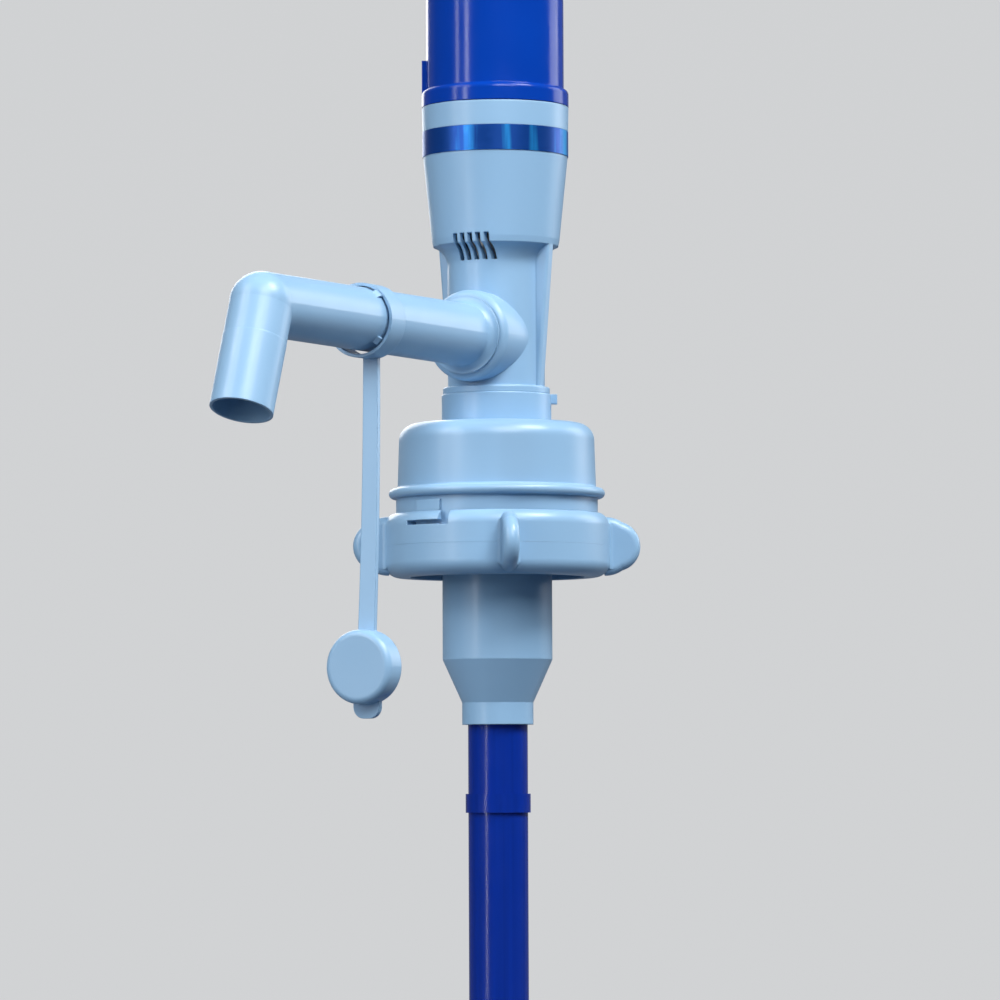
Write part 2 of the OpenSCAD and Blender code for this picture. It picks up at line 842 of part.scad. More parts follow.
module body_outline() {
  difference() {
    polygon([[0, spigot_low], [body_r, spigot_low], [body_r, rim_low], [rim_r, rim_low],
      [rim_r, rim_low + rim_h], [body_r, rim_low + rim_h], [body_r, cove_low], [cup_edge_r, cove_low],
      [cup_edge_r, cup_low], [cup_low_r, cup_low + cup_chamfer], [cup_r - collar_draft, collar_low],
      [cup_r, body_top], [0, body_top]]);
    translate([body_r + cove_r, cove_low]) circle(cove_r);
    corner([rim_r, rim_low + rim_h], edge_round, 2);
    corner([cup_r, body_top], edge_round, 2);
  }
}

module body_hollow() {
  polygon([[0, spigot_low - over], [body_in, spigot_low - over], [body_in, cup_low - hollow_cone_h],
    [cup_low_r - body_wall, cup_low + body_wall / 2], [cup_r - collar_draft - body_wall, collar_low],
    [collar_in, collar_low + collar_step], [collar_in, body_top + over], [0, body_top + over]]);
}

// The wings stand to both sides of the lower body and lean out from the rim to the cup
module wings() {
  low = rim_low + rim_h / 2;
  high = cup_low + cup_chamfer / 2;
  lean = atan((cup_edge_r - wing_low) / (cup_low - low));
  intersection() {
    bar(cup_edge_r, low, high);
    for (turn = [0, 180]) rotate(turn) translate([wing_low, 0, low]) rotate([0, lean, 0])
      translate([0, 0, -over]) linear_extrude(height = high - low + 2 * over) difference() {
        translate([-wing_low + over, -wing_t / 2]) square([wing_low - over, wing_t]);
        corner([0, wing_t / 2], wing_round, 2);
        corner([0, -wing_t / 2], wing_round, 1);
      }
  }
}

module pump_body() {
  color(base_blue) {
    difference() {
      union() {
        rotate_extrude() body_outline();
        wings();
        along_arm() rotate_extrude() difference() {
          square([boss_d / 2, boss_reach]);
          corner([boss_d / 2, boss_reach], boss_round, 2);
        }
      }
      rotate_extrude() body_hollow();
      along_arm() bar(boss_in, 0, boss_reach + over);
      ring(cup_r + over, band_floor, collar_low + band_z, collar_low + band_z + band_h);
      o_ring_groove();
      for (i = [0 : vent_count - 1])
        translate([vent_x + (i - (vent_count - 1) / 2) * vent_pitch - vent_w / 2, -cup_r, vent_top - vent_h])
          cube([vent_w, cup_r - body_in / 2, vent_h]);
    }
    ring(body_in + eps, body_in - seat_w, seat_z - seat_t, seat_z);
  }
}

// The groove for the O-ring between the body and the neck ring
module o_ring_groove() {
  side = body_cord + groove_room;
  ring(body_r + over, body_r - 2 * body_cord, body_seal_z - side, body_seal_z + side);
}

module body_seal() {
  color(rubber) o_ring(ring_in - body_cord - cord_room, body_cord, body_seal_z);
}

module label_band() {
  color([0.1, 0.35, 0.75])
    ring(band_r, band_floor, collar_low + band_z, collar_low + band_z + band_h);
}

module motor() {
  low = plate_top;
  color(steel) difference() {
    union() {
      bar(motor_d / 2, low, low + motor_h);
      bar(motor_d / 2 - motor_end_step, low + motor_h - eps, low + motor_h + motor_end_h);
      bar(motor_hub_r, low - motor_hub_h, low + eps);
    }
    bar(motor_shaft_d / 2 + fit, low - motor_hub_h - over, low + motor_bearing);
    around(2) translate([screw_ring, 0, low - over])
      cylinder(r = screw_r + fit, h = screw_bite + screw_room + over);
  }
}

module motor_plate() {
  color("whitesmoke") difference() {
    bar(body_in - fit, seat_z, plate_top + plate_rim);
    bar(motor_d / 2 + fit, plate_top, plate_top + plate_rim + over);
    bar(motor_hub_r + fit, hub_floor - eps, plate_top + over);
    bar(seal_r + fit, seat_z - over, hub_floor);
    around(2) translate([screw_ring, 0, seat_z - over]) {
      cylinder(r = screw_r + fit, h = plate_t + 2 * over);
      cylinder(r = screw_head_r + fit, h = screw_head_h + over);
    }
  }
}

// Lip seal on the motor's shaft
module shaft_seal() {
  color(rubber) ring(seal_r, motor_shaft_d / 2 + fit, seat_z, hub_floor);
}

module motor_screws() {
  color(steel) around(2) translate([screw_ring, 0, seat_z]) {
    cylinder(r = screw_head_r, h = screw_head_h);
    cylinder(r = screw_r, h = plate_t + screw_bite);
  }
}

module motor_shaft() {
  color(steel) bar(motor_shaft_d / 2, coupling_mid + loose, plate_top + motor_bearing - shaft_end_room);
}

// A quarter bend in a lead, from upright to outward along Y
module lead_bend() {
  rotate([0, -90, 0]) rotate_extrude(angle = 90) translate([lead_bend_r, 0]) circle(d = lead_d);
}

// A lead runs up from a motor terminal, out past the carrier and up to the control board
module motor_leads() {
  terminal = plate_top + motor_h + motor_end_h;
  turn = (terminal + body_top) / 2;
  out = lead_ring - terminal_r - 2 * lead_bend_r;
  color("firebrick") for (side = [0, 1]) mirror([0, side, 0]) {
    translate([0, terminal_r, terminal]) cylinder(d = lead_d, h = turn - lead_bend_r - terminal);
    translate([0, terminal_r + lead_bend_r, turn - lead_bend_r]) mirror([0, 1, 0]) lead_bend();
    translate([0, terminal_r + lead_bend_r, turn]) rotate([-90, 0, 0]) cylinder(d = lead_d, h = out);
    translate([0, lead_ring - lead_bend_r, turn + lead_bend_r]) mirror([0, 0, 1]) lead_bend();
    translate([0, lead_ring, turn + lead_bend_r]) cylinder(d = lead_d, h = board_z - turn - lead_bend_r);
  }
}

// The outlet's frame: Z runs out of the spout's mouth from the elbow
module along_outlet() {
  translate([0, 0, arm_reach]) rotate([90 - outlet_lean, 0, 0]) children();
}

module spout() {
  bump_y = tether_y + tether_w + loose;
  bump_r = arm_at_tether + bump_rise;
  side = ring_cord + groove_room;
  color(base_blue) along_arm() difference() {
    union() {
      bar(spigot_r, spigot_end, stop_y + eps);
      rotate_extrude() difference() {
        translate([0, stop_y]) square([stop_d / 2, stop_t + flare_r - flare_sink]);
        translate([stop_d / 2 - flare_sink, stop_end + flare_r]) circle(flare_r);
      }
      translate([0, 0, stop_end - eps]) cylinder(r1 = arm_r, r2 = elbow_r, h = arm_reach - stop_end + eps);
      translate([0, 0, arm_reach]) sphere(r = elbow_r + elbow_step);
      along_outlet() {
        cylinder(r = elbow_r, h = outlet_start);
        translate([0, 0, outlet_start - eps])
          cylinder(r1 = elbow_r + outlet_step, r2 = mouth_r, h = outlet_h - outlet_start + eps);
      }
      around(4, 45) translate([0, 0, bump_y]) rotate([90, 0, 0])
        linear_extrude(height = bump_w, center = true)
          polygon([[elbow_r - bump_root, 0], [bump_r, 0], [bump_r, bump_flat],
            [arm_at_tether - bump_sink, bump_l], [elbow_r - bump_root, bump_l]]);
    }
    bar(bore_r, spigot_end - over, arm_reach);
    translate([0, 0, arm_reach]) sphere(r = bore_r + elbow_step);
    along_outlet() {
      bar(bore_r, 0, outlet_h + over);
      translate([0, 0, outlet_h - mouth_taper])
        cylinder(r1 = bore_r, r2 = mouth_r - mouth_wall, h = mouth_taper + eps);
    }
    ring(spigot_r + over, boss_in - 2 * (ring_cord + cord_room), groove_y - side, groove_y + side);
  }
}

module spout_seal() {
  color(rubber) along_arm() o_ring(boss_in - ring_cord - cord_room, ring_cord, groove_y);
}

// The strap hangs from the ring's near edge and bows out on one large arc towards the cap's rim
module strap() {
  top = -tether_hang - tether_in - tether_t / 2;
  low = cap_z + cap_r - cap_wall;
  intersection() {
    rotate([0, -90, 0]) linear_extrude(height = strap_low_w + strap_top_w, center = true) intersection() {
      translate([tether_y + strap_t / 2 + strap_curve, top]) difference() {
        circle(strap_curve + strap_t / 2);
        circle(strap_curve - strap_t / 2);
      }
      translate([tether_y - over, low]) square([strap_bow + strap_t + strap_margin, top - low]);
    }
    linear_extrude(height = cap_rim_y + strap_t + strap_margin)
      polygon([[-strap_top_w / 2, top], [strap_top_w / 2, top], [strap_low_w / 2, low],
        [-strap_low_w / 2, low]]);
  }
}

module pull_tab() {
  low = cap_z - cap_r - tab_rise;
  translate([0, 0, cap_rim_y]) linear_extrude(height = tab_t) difference() {
    translate([-tab_w / 2, low]) square([tab_w, tab_rise + cap_wall + tab_w * tab_w / (8 * cap_r)]);
    corner([-tab_w / 2, low], tab_round, 0);
    corner([tab_w / 2, low], tab_round, 1);
  }
}

module cap_tether() {
  cap_end = cap_rim_y + cap_depth + cap_face_t;
  color(base_blue) along_arm() {
    translate([0, -tether_hang, 0]) ring(tether_r, tether_in, tether_y, tether_y + tether_w);
    difference() {
      union() {
        strap();
        pull_tab();
        translate([0, cap_z, 0]) rotate_extrude() difference() {
          translate([0, cap_rim_y]) square([cap_r, cap_end - cap_rim_y]);
          corner([cap_r, cap_end], cap_round, 2);
        }
      }
      translate([0, cap_z, 0]) bar(cap_in, cap_rim_y - over, cap_rim_y + cap_depth);
    }
  }
}

module handle_shell() {
  color(deep_blue) difference() {
    union() {
      rotate_extrude() {
        translate([handle_in, body_top]) square([handle_wall, handle_h]);
        difference() {
          translate([handle_in, body_top]) square([cup_r - handle_in, foot_ring_h]);
          corner([cup_r, body_top + foot_ring_h], foot_ring_c, 2);
        }
        translate([handle_in, body_top - plug_h]) square([plug_r - handle_in, plug_h + eps]);
        translate([shelf_in, carrier_low - shelf_t]) square([handle_in - shelf_in + eps, shelf_t]);
      }
      rotate(-90)
        sector(cup_r, handle_in + eps, body_top + foot_ring_h - foot_ring_c, port_top, 2 * port_half);
    }
    translate([0, 0, jack_z]) rotate([0, -90, 0]) cylinder(r = jack_r + fit, h = cup_r + over);
  }
}

module handle_cap() {
  color(deep_blue) difference() {
    rotate_extrude() difference() {
      union() {
        difference() {
          translate([0, handle_top]) square([handle_r, cap_h]);
          corner([handle_r, cap_top], cap_edge, 2);
        }
        translate([0, handle_top - cap_plug_h]) square([handle_in - fit, cap_plug_h + eps]);
      }
      difference() {
        translate([0, handle_top - cap_plug_h - over])
          square([cap_plug_in, cap_h + cap_plug_h + over - cap_skin]);
        translate([guide_in, guide_low]) square([guide_t, cap_h + guide_drop]);
        corner([cap_plug_in, cap_top - cap_skin], cap_edge - cap_plug_wall, 2);
      }
      translate([0, handle_top - cap_plug_h - over]) square([guide_in, cap_h + cap_plug_h + 2 * over]);
    }
    translate([0, -lens_y, handle_top]) cylinder(d = lens_d + 2 * fit, h = cap_h + over);
  }
}

module power_button() {
  color([0.85, 0.88, 0.92]) rotate_extrude() {
    difference() {
      translate([0, button_flange_low]) square([button_r, cap_top + button_rise - button_flange_low]);
      corner([button_r, cap_top + button_rise], button_round, 2);
    }
    translate([0, button_flange_low]) square([guide_in + button_flange, button_flange_t]);
    translate([0, plunger_top]) square([stem_r, button_flange_low - plunger_top + eps]);
  }
}

module push_switch() {
  color([0.15, 0.15, 0.16]) difference() {
    translate([-switch_w / 2, -switch_w / 2, switch_low]) cube([switch_w, switch_w, switch_h]);
    bar(plunger_r + fit, switch_low + switch_floor, switch_low + switch_h + over);
  }
}

module switch_plunger() {
  color("white") bar(plunger_r, plunger_low, plunger_top);
}

module control_board() {
  color([0.05, 0.35, 0.15]) bar(board_r, board_z, board_z + board_t);
}

module indicator_lens() {
  color([0.9, 0.3, 0.3]) translate([0, -lens_y, board_z + board_t])
    cylinder(d = lens_d, h = cap_top + lens_proud - board_z - board_t);
}

module charge_jack() {
  color([0.12, 0.12, 0.13]) {
    difference() {
      union() {
        translate([-jack_front, -jack_w / 2, jack_z - jack_w / 2])
          cube([jack_front - jack_back, jack_w, jack_w]);
        translate([-jack_front + eps, 0, jack_z]) rotate([0, -90, 0])
          cylinder(r = jack_r, h = cup_r - jack_recess - jack_front);
      }
      translate([-jack_back - jack_floor, 0, jack_z]) rotate([0, -90, 0]) cylinder(d = jack_bore, h = cup_r);
    }
    translate([-jack_back, 0, jack_z]) rotate([0, -90, 0])
      cylinder(r = jack_pin_r, h = cup_r - jack_pin_recess - jack_back);
  }
}

module battery_cells() {
  color([0.3, 0.5, 0.35]) around(4, 45) translate([cell_ring, 0, cell_low]) {
    cylinder(r = cell_r, h = cell_l);
    cylinder(r = nub_r, h = cell_l + nub_h);
  }
}

module carrier_plate(low) {
  difference() {
    bar(handle_in - loose, low, low + carrier_t);
    around(2, 90) translate([lead_ring, 0, low - over])
      cylinder(d = lead_d + 2 * loose, h = carrier_t + 2 * over);
  }
}

module cell_carrier() {
  color("whitesmoke") {
    carrier_plate(carrier_low);
    carrier_plate(carrier_top);
    bar(cell_ring - cell_r - loose, carrier_low + carrier_t - eps, carrier_top + eps);
    around(3) translate([board_r - post_inset, 0, carrier_top + carrier_t - eps])
      cylinder(r = post_r, h = board_z - carrier_top - carrier_t + eps);
  }
}

// Nickel strips join the cells in pairs, above and below
module cell_links() {
  pair = cell_ring * sqrt(2);
  color(steel) {
    for (side = [-1, 1]) translate([-pair / 2 - link_end, side * pair / 2 - link_w / 2, cell_top])
      cube([pair + 2 * link_end, link_w, link_t]);
    translate([pair / 2 - link_w / 2, -pair / 2 - link_end, cell_low - link_t])
      cube([link_w, pair + 2 * link_end, link_t]);
    for (side = [-1, 1]) translate([-pair / 2 - link_w / 2, side * pair / 2 - link_end, cell_low - link_t])
      cube([link_w, 2 * link_end, link_t]);
  }
}

base_cup();
neck_seal();
grip_collet();
clamp_ring();
tube_adaptor();
adaptor_seal();
riser_upper();
tube_joiner();
riser_lower();
shaft_guides();
drive_shaft();
shaft_coupling();
impeller();
inlet_foot();
foot_bush();
pump_body();
body_seal();
label_band();
motor();
motor_plate();
motor_screws();
motor_shaft();
shaft_seal();
motor_leads();
spout();
spout_seal();
cap_tether();
handle_shell();
handle_cap();
power_button();
push_switch();
switch_plunger();
control_board();
indicator_lens();
charge_jack();
battery_cells();
cell_carrier();
cell_links();
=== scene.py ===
"""Looks of an electric pump for a large water bottle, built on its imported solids."""
import math

import bmesh
import bpy
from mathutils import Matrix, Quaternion, Vector


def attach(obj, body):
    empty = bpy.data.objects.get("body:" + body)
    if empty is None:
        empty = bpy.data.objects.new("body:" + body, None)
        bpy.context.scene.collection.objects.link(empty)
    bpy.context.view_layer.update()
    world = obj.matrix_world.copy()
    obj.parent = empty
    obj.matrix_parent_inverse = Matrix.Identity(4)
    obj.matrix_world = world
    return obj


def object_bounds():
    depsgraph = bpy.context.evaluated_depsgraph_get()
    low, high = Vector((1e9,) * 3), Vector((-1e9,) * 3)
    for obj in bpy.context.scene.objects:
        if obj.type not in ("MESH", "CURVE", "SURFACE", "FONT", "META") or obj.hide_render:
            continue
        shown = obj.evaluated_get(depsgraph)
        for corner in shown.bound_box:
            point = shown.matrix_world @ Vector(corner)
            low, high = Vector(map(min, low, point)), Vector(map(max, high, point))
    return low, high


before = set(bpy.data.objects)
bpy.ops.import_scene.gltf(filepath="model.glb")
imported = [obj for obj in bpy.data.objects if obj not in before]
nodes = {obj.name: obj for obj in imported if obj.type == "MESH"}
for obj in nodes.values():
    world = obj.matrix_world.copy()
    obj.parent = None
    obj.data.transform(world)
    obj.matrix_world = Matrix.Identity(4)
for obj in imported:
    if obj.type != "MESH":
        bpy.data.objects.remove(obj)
cad_low, cad_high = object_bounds()

MM = 0.001

# Colours of the mouldings, linear: the plain tone and the tone of its faint clouds
PALE_BLUE = (0.295, 0.485, 0.690), (0.272, 0.462, 0.668)
DEEP_BLUE = (0.001, 0.045, 0.370), (0.001, 0.038, 0.330)
WARM_WHITE = (0.76, 0.77, 0.75), (0.70, 0.71, 0.69)
SOFT_BLACK = (0.022, 0.022, 0.024), (0.014, 0.014, 0.016)
BUTTON_BLUE = (0.38, 0.50, 0.62), (0.35, 0.47, 0.59)
FILM_GREEN = (0.055, 0.19, 0.095), (0.040, 0.15, 0.075)
LEAD_RED = (0.38, 0.010, 0.010), (0.30, 0.008, 0.008)
LENS_RED = (0.62, 0.035, 0.030), (0.54, 0.028, 0.024)

# Colours of the other materials, linear
TUBE_BLUE = (0.003, 0.040, 0.420)
FOIL_BLUE = (0.004, 0.066, 0.350)
# The cyan of the foil's streaks is painted sheen, standing in for the band's bright reflections
PAINTED_SHEEN_CYAN = (0.020, 0.350, 0.820)
SEAL_BLACK = (0.032, 0.033, 0.036)
STEEL_GREY = (0.58, 0.59, 0.61)
CAN_GREY = (0.24, 0.245, 0.25)
BRASS = (0.62, 0.42, 0.14)
MASK_GREEN = (0.008, 0.085, 0.030)
COPPER_GREEN = (0.020, 0.150, 0.055)

# Relief of the surfaces
EDGE_ROUND = 0.45 * MM
SINK_DEPTH = 0.12 * MM
SATIN_GRAIN = 0.007 * MM
GLOSSY_GRAIN = 0.004 * MM
DRAW_LINE_DEPTH = 0.04 * MM
BRUSH_DEPTH = 0.02 * MM
RUBBER_GRAIN = 0.03 * MM
TOOL_LINE_DEPTH = 0.02 * MM
COPPER_STEP = 0.03 * MM

# Parting line round the clamp ring
CLAMP_RADIUS = 35.9 * MM
PARTING_Z = -13.2 * MM
MOULD_LINE_RADIUS = 0.12 * MM
MOULD_LINE_PROUD = 0.035 * MM

# Studio tones, linear: what the viewer sees of the paper and past it, and what lights the object
PAPER_WHITE = (0.46, 0.465, 0.47)
STUDIO_WHITE = (0.90, 0.91, 0.92)
FAR_TONE = (0.63, 0.64, 0.65)
BOUNCE_TONE = (0.050, 0.080, 0.120)
SKY_TONE = (0.038, 0.059, 0.086)

# How dark the paper's clouds are, how much of its tone is plain glow, and how much of the bright
# studio polished faces show
PAPER_CLOUD = 0.97
PAPER_GLOW = 0.66
PAPER_MIRRORED = 0.22
SKY_MIRRORED = 0.06

# Paper floor and backdrop, in metres
FLOOR_HALF_WIDTH = 6.0
FLOOR_FRONT = -6.0
BACKDROP_Y = 4.0
BACKDROP_RISE = 6.0
BEND_RADIUS = 1.5
BEND_STEPS = 16

# Where the photograph was taken from, in metres and in pixels of the picture
IMAGE_SIDE = 1000
SENSOR_MM = 36.0
VIEW_AZIMUTH = math.radians(28)
VIEW_DISTANCE = 1.69
VIEW_HEIGHT = -0.0908
FOCAL_PX = 5300
HORIZON_ROW = 790
AXIS_COLUMN = 496.9
VIEW_ROLL = math.radians(-0.25)

# Lamps: name, degrees to the right of the view, height and distance, width and length, watts
LAMP_AIM = Vector((0, 0, 0.03))
LAMPS = [
    ("key_light", 16, 1.00, 1.30, (0.9, 0.9), 15),
    ("overhead_strip", 10, 1.45, 1.35, (0.07, 0.9), 4.5),
    ("window_far_pane", -66, 0.70, 1.7, (0.10, 1.2), 5),
    ("window_near_pane", -48, 0.70, 1.7, (0.13, 1.2), 8),
    ("right_fill", 58, 1.80, 1.35, (0.7, 0.8), 44),
    ("left_fill", -70, 1.45, 1.5, (0.7, 1.0), 8),
    ("back_left_fill", -165, 0.70, 1.6, (0.8, 1.0), 8),
    ("back_right_fill", 118, 0.60, 1.6, (0.8, 1.0), 8),
    ("low_strip", -46, -0.20, 1.6, (0.05, 0.45), 1.6),
]


# Node helpers
class Graph:
    """The node tree of a material or a world, with short ways to add and join nodes."""

    def __init__(self, owner, shader="Principled BSDF"):
        self.owner = owner
        owner.use_nodes = True
        self.tree = owner.node_tree
        self.shader = self.tree.nodes[shader]

    def add(self, kind, **values):
        node = self.tree.nodes.new(kind)
        for key, value in values.items():
            setattr(node, key, value)
        return node

    def join(self, source, target):
        self.tree.links.new(source, target)

    def set(self, **values):
        """Constant values straight on the shader's own sockets."""
        for key, value in values.items():
            socket = key.replace("_", " ").title().replace("Ior", "IOR")
            self.shader.inputs[socket].default_value = value

    def colour(self, socket):
        self.join(socket, self.shader.inputs["Base Color"])

    def roughness(self, socket):
        self.join(socket, self.shader.inputs["Roughness"])

    def normal(self, socket):
        self.join(socket, self.shader.inputs["Normal"])

    def place(self, stretch):
        """Object coordinates, scaled along each axis."""
        coordinates = self.add("ShaderNodeTexCoord")
        mapping = self.add("ShaderNodeMapping")
        mapping.inputs["Scale"].default_value = stretch
        self.join(coordinates.outputs["Object"], mapping.inputs["Vector"])
        return mapping.outputs["Vector"]

    def noise(self, scale, detail, stretch=(1, 1, 1)):
        """Noise of about scale cells to the metre; a small stretch draws it out along that axis."""
        texture = self.add("ShaderNodeTexNoise")
        texture.inputs["Scale"].default_value = scale
        texture.inputs["Detail"].default_value = detail
        texture.inputs["Roughness"].default_value = 0.55
        self.join(self.place(stretch), texture.inputs["Vector"])
        return texture.outputs["Fac"]

    def ramp(self, factor, stops):
        """A colour ramp through (position, colour) stops."""
        ramp = self.add("ShaderNodeValToRGB")
        elements = ramp.color_ramp.elements
        while len(elements) < len(stops):
            elements.new(0.5)
        for element, (position, colour) in zip(elements, stops):
            element.position = position
            element.color = (*colour, 1)
        self.join(factor, ramp.inputs["Fac"])
        return ramp.outputs["Color"]

    def span(self, factor, low, high):
        """The factor's middle range spread over low to high."""
        span = self.add("ShaderNodeMapRange")
        span.inputs["From Min"].default_value = 0.3
        span.inputs["From Max"].default_value = 0.7
        span.inputs["To Min"].default_value = low
        span.inputs["To Max"].default_value = high
        self.join(factor, span.inputs["Value"])
        return span.outputs["Result"]

    def bump(self, height, depth, strength, before=None):
        """Relief of the given depth, on top of the normal that comes before it."""
        bump = self.add("ShaderNodeBump")
        bump.inputs["Strength"].default_value = strength
        bump.inputs["Distance"].default_value = depth
        self.join(height, bump.inputs["Height"])
        if before is not None:
            self.join(before, bump.inputs["Normal"])
        return bump.outputs["Normal"]

    def soft_edges(self):
        """The small rounding that a mould leaves on every edge, in the shading only."""
        bevel = self.add("ShaderNodeBevel", samples=6)
        bevel.inputs["Radius"].default_value = EDGE_ROUND
        return bevel.outputs["Normal"]

    def maths(self, operation, first, second):
        """Two factors combined; the second may be a plain number."""
        node = self.add("ShaderNodeMath", operation=operation)
        self.join(first, node.inputs[0])
        if isinstance(second, float):
            node.inputs[1].default_value = second
        else:
            self.join(second, node.inputs[1])
        return node.outputs["Value"]

    def seen_by_viewer(self, mirrored):
        """1 where the viewer looks straight or through clear plastic, and mirrored in polished faces."""
        path = self.add("ShaderNodeLightPath").outputs
        direct = self.maths("MAXIMUM", path["Is Camera Ray"], path["Is Transmission Ray"])
        polished = self.maths("MULTIPLY", path["Is Glossy Ray"], mirrored)
        return self.maths("MAXIMUM", direct, polished)

    def mixed(self, factor, colour, socket):
        """From a plain colour at 0 to a socket's colour at 1."""
        mix = self.add("ShaderNodeMixRGB")
        mix.inputs["Color1"].default_value = (*colour, 1)
        self.join(factor, mix.inputs["Fac"])
        self.join(socket, mix.inputs["Color2"])
        return mix.outputs["Color"]

    def glow(self, factor, colour, share):
        """Mixes in a plain tone, as far as share where the factor is 1."""
        emission = self.add("ShaderNodeEmission")
        emission.inputs["Color"].default_value = (*colour, 1)
        mix = self.add("ShaderNodeMixShader")
        self.join(self.maths("MULTIPLY", factor, share), mix.inputs["Fac"])
        self.join(self.shader.outputs["BSDF"], mix.inputs[1])
        self.join(emission.outputs["Emission"], mix.inputs[2])
        self.join(mix.outputs["Shader"], self.tree.nodes["Material Output"].inputs["Surface"])


def new_material(name):
    return Graph(bpy.data.materials.new(name))


def scaled(colour, factor, lift=0.0):
    return tuple(factor * c + lift for c in colour)


# Materials
# Each finish on the outside stays on one side of a roughness of 0.27: the render's clean-up changes
# there, so a gloss that varied across it would look stained
def moulded_plastic(name, tones, rough, grain=SATIN_GRAIN, shine=0.5):
    """Moulded plastic: faint cloudy tone, shallow sink marks, fine grain and uneven gloss."""
    colour, shade = tones
    g = new_material(name)
    clouds = g.noise(scale=38, detail=1)
    g.colour(g.ramp(clouds, [(0.20, shade), (0.80, colour)]))
    g.roughness(g.span(g.noise(scale=90, detail=2), low=rough - 0.03, high=rough + 0.05))
    sinks = g.bump(g.noise(scale=55, detail=2), SINK_DEPTH, strength=0.35, before=g.soft_edges())
    g.normal(g.bump(g.noise(scale=2600, detail=3), grain, strength=0.8, before=sinks))
    g.set(ior=1.49, specular_ior_level=shine)
    return g.owner


def clear_tube(name, colour):
    """Tinted clear plastic with faint draw lines along the tube."""
    g = new_material(name)
    lines = g.noise(scale=420, detail=3, stretch=(1, 1, 0.012))
    g.colour(g.ramp(lines, [(0.35, scaled(colour, 0.82)), (0.65, colour)]))
    g.roughness(g.span(g.noise(scale=150, detail=4), low=0.18, high=0.26))
    g.normal(g.bump(lines, DRAW_LINE_DEPTH, strength=0.25))
    g.set(ior=1.46, transmission_weight=0.35, specular_ior_level=0.3)
    return g.owner


def blue_foil(name):
    """Printed metal foil: brushed round the band, with painted sheen of random cyan streaks over the
    blue, in place of bright reflections.
    """
    g = new_material(name)
    sheen_streaks = g.noise(scale=16, detail=4, stretch=(9, 9, 0.6))
    # Painted sheen: noise streaks turn the foil's blue to a reflection-like cyan
    g.colour(g.ramp(sheen_streaks, [(0.30, FOIL_BLUE), (0.50, FOIL_BLUE), (0.68, PAINTED_SHEEN_CYAN)]))
    g.roughness(g.span(g.noise(scale=300, detail=3, stretch=(1, 1, 6)), low=0.28, high=0.38))
    brushing = g.noise(scale=900, detail=2, stretch=(0.4, 0.4, 5))
    g.normal(g.bump(brushing, BRUSH_DEPTH, strength=0.4))
    g.set(metallic=0.6)
    return g.owner


def rubber(name, colour):
    """Matt rubber with a greyish bloom."""
    g = new_material(name)
    bloom = g.noise(scale=120, detail=5)
    g.colour(g.ramp(bloom, [(0.3, colour), (0.75, scaled(colour, 1.5, lift=0.01))]))
    g.roughness(g.span(bloom, low=0.62, high=0.8))
    g.normal(g.bump(g.noise(scale=1800, detail=4), RUBBER_GRAIN, strength=0.8))
    g.set(ior=1.5)
    return g.owner


def metal(name, colour, rough, stretch):
    """Turned or drawn metal: fine lines in one direction and slight stains."""
    g = new_material(name)
    stain = g.noise(scale=60, detail=4)
    g.colour(g.ramp(stain, [(0.3, scaled(colour, 0.8)), (0.7, colour)]))
    lines = g.noise(scale=500, detail=3, stretch=stretch)
    g.roughness(g.span(lines, low=rough - 0.07, high=rough + 0.09))
    g.normal(g.bump(lines, TOOL_LINE_DEPTH, strength=0.5))
    g.set(metallic=1.0)
    return g.owner


def printed_board(name):
    """Solder mask over faint copper areas."""
    g = new_material(name)
    copper = g.noise(scale=220, detail=1)
    g.colour(g.ramp(copper, [(0.47, MASK_GREEN), (0.50, COPPER_GREEN)]))
    g.roughness(g.span(g.noise(scale=400, detail=3), low=0.28, high=0.42))
    g.normal(g.bump(copper, COPPER_STEP, strength=0.6))
    g.set(ior=1.5)
    return g.owner


pale = moulded_plastic("pale_moulding", PALE_BLUE, rough=0.31)
deep = moulded_plastic("handle_moulding", DEEP_BLUE, rough=0.16, grain=GLOSSY_GRAIN, shine=0.28)
white = moulded_plastic("white_moulding", WARM_WHITE, rough=0.48)
black = moulded_plastic("black_moulding", SOFT_BLACK, rough=0.45)
button_finish = moulded_plastic("button_moulding", BUTTON_BLUE, rough=0.32)
film = moulded_plastic("cell_film", FILM_GREEN, rough=0.25)
lead_cover = moulded_plastic("lead_cover", LEAD_RED, rough=0.40)
lens = moulded_plastic("lens_moulding", LENS_RED, rough=0.12)
tube = clear_tube("tube_plastic", TUBE_BLUE)
seal = rubber("seal_rubber", SEAL_BLACK)
steel = metal("drawn_steel", STEEL_GREY, rough=0.26, stretch=(1, 1, 0.02))
can = metal("motor_can", CAN_GREY, rough=0.46, stretch=(1, 1, 0.05))
bush_brass = metal("turned_brass", BRASS, rough=0.28, stretch=(0.05, 0.05, 1))
foil = blue_foil("band_foil")
board = printed_board("solder_mask")

FINISH = {
    pale: ["base_cup", "grip_collet", "clamp_ring", "pump_body", "spout", "cap_tether", "tube_adaptor"],
    deep: ["handle_shell", "handle_cap"],
    tube: ["riser_upper", "tube_joiner", "riser_lower", "inlet_foot"],
    seal: ["neck_seal", "adaptor_seal", "body_seal", "shaft_seal", "spout_seal"],
    white: ["shaft_guides", "impeller", "motor_plate", "switch_plunger", "cell_carrier"],
    black: ["push_switch", "charge_jack"],
    button_finish: ["power_button"],
    steel: ["drive_shaft", "shaft_coupling", "motor_screws", "motor_shaft", "cell_links"],
    can: ["motor"],
    bush_brass: ["foot_bush"],
    foil: ["label_band"],
    lead_cover: ["motor_leads"],
    board: ["control_board"],
    lens: ["indicator_lens"],
    film: ["battery_cells"],
}
for finish, names in FINISH.items():
    for name in names:
        nodes[name].data.materials.clear()
        nodes[name].data.materials.append(finish)


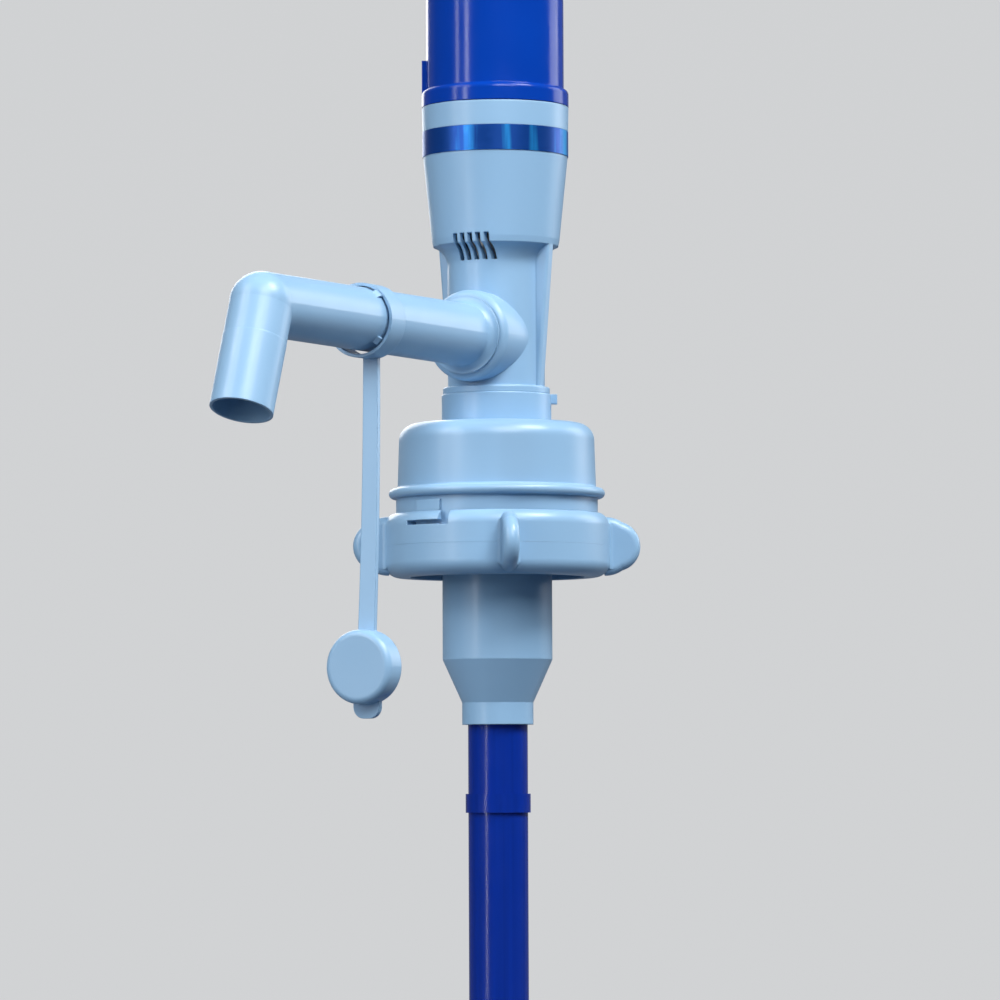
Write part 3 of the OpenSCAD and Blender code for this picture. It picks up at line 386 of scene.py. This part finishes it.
# Mould line: a hair-fine bead where two halves of a mould met
def mould_line(name, body, finish, height, radius):
    """A bead round the pump's axis that stands just proud of a wall of the given radius."""
    bpy.ops.mesh.primitive_torus_add(
        major_radius=radius - MOULD_LINE_RADIUS + MOULD_LINE_PROUD, minor_radius=MOULD_LINE_RADIUS,
        major_segments=160, minor_segments=8)
    line = bpy.context.object
    line.name = name
    line.location = (0, 0, height)
    line.data.materials.append(finish)
    for face in line.data.polygons:
        face.use_smooth = True
    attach(line, body)


mould_line("clamp_parting", "clamp", pale, PARTING_Z, CLAMP_RADIUS)


# Stage: a pale floor that curves up into a backdrop behind the object
def studio_paper():
    """Pale to the viewer, with the object's shadow, and dim where it throws light back up."""
    g = new_material("studio_paper")
    seen = g.seen_by_viewer(PAPER_MIRRORED)
    clouds = g.noise(scale=2, detail=2)
    paper = g.ramp(clouds, [(0.3, PAPER_WHITE), (0.7, scaled(PAPER_WHITE, PAPER_CLOUD))])
    g.colour(g.mixed(seen, BOUNCE_TONE, paper))
    g.set(roughness=0.9)
    g.glow(seen, STUDIO_WHITE, PAPER_GLOW)
    return g.owner


def cyclorama():
    """The paper, swept along an outline of floor, bend and backdrop."""
    floor_z = cad_low.z
    bend_y, bend_z = BACKDROP_Y - BEND_RADIUS, floor_z + BEND_RADIUS
    outline = [(FLOOR_FRONT, floor_z), (bend_y, floor_z)]
    for i in range(1, BEND_STEPS + 1):
        angle = math.pi / 2 * i / BEND_STEPS
        outline.append((bend_y + BEND_RADIUS * math.sin(angle), bend_z - BEND_RADIUS * math.cos(angle)))
    outline.append((BACKDROP_Y, floor_z + BACKDROP_RISE))
    mesh = bpy.data.meshes.new("studio_floor")
    bm = bmesh.new()
    rows = [[bm.verts.new((side * FLOOR_HALF_WIDTH, y, z)) for side in (-1, 1)] for y, z in outline]
    for (a, b), (c, d) in zip(rows, rows[1:]):
        bm.faces.new((a, b, d, c)).smooth = True
    bm.to_mesh(mesh)
    bm.free()
    mesh.materials.append(studio_paper())
    floor = bpy.data.objects.new("studio_floor", mesh)
    bpy.context.scene.collection.objects.link(floor)
    floor.rotation_euler.z = VIEW_AZIMUTH


def studio_world():
    """A dim blue sky on the object, and the backdrop's tone where the viewer looks past the floor."""
    g = Graph(bpy.data.worlds.new("studio_world"), "Background")
    tone = g.ramp(g.seen_by_viewer(SKY_MIRRORED), [(0, SKY_TONE), (1, FAR_TONE)])
    g.join(tone, g.shader.inputs["Color"])
    g.set(strength=1.0)
    bpy.context.scene.world = g.owner


def soft_light(name, azimuth, height, distance, size, power):
    """An area lamp aimed at the pump's head."""
    lamp = bpy.data.lights.new(name, "AREA")
    lamp.shape = "RECTANGLE"
    lamp.size, lamp.size_y = size
    lamp.energy = power
    holder = bpy.data.objects.new(name, lamp)
    bpy.context.scene.collection.objects.link(holder)
    turn = VIEW_AZIMUTH + math.radians(azimuth)
    holder.location = (distance * math.sin(turn), -distance * math.cos(turn), height)
    aim = LAMP_AIM - holder.location
    holder.rotation_euler = aim.to_track_quat("-Z", "Y").to_euler()


def camera():
    """The photograph's camera, level but for its tilt and a slight roll."""
    lens_data = bpy.data.cameras.new("photo_camera")
    lens_data.sensor_width = SENSOR_MM
    lens_data.lens = SENSOR_MM * FOCAL_PX / IMAGE_SIDE
    lens_data.clip_start, lens_data.clip_end = 0.05, 50
    holder = bpy.data.objects.new("photo_camera", lens_data)
    bpy.context.scene.collection.objects.link(holder)
    across = Vector((math.cos(VIEW_AZIMUTH), math.sin(VIEW_AZIMUTH), 0))
    away = Vector((-math.sin(VIEW_AZIMUTH), math.cos(VIEW_AZIMUTH), 0))
    holder.location = Vector((0, 0, VIEW_HEIGHT)) - away * VIEW_DISTANCE
    tilt = math.atan((HORIZON_ROW - IMAGE_SIDE / 2) / FOCAL_PX)
    swing = math.atan((IMAGE_SIDE / 2 - AXIS_COLUMN) / FOCAL_PX)
    look = away * math.cos(tilt) + Vector((0, 0, math.sin(tilt))) + across * math.sin(swing)
    level = look.to_track_quat("-Z", "Y")
    holder.rotation_euler = (level @ Quaternion((0, 0, 1), VIEW_ROLL)).to_euler()
    bpy.context.scene.camera = holder


cyclorama()
studio_world()
camera()
for lamp in LAMPS:
    soft_light(*lamp)
bpy.context.scene.view_settings.view_transform = "Standard"
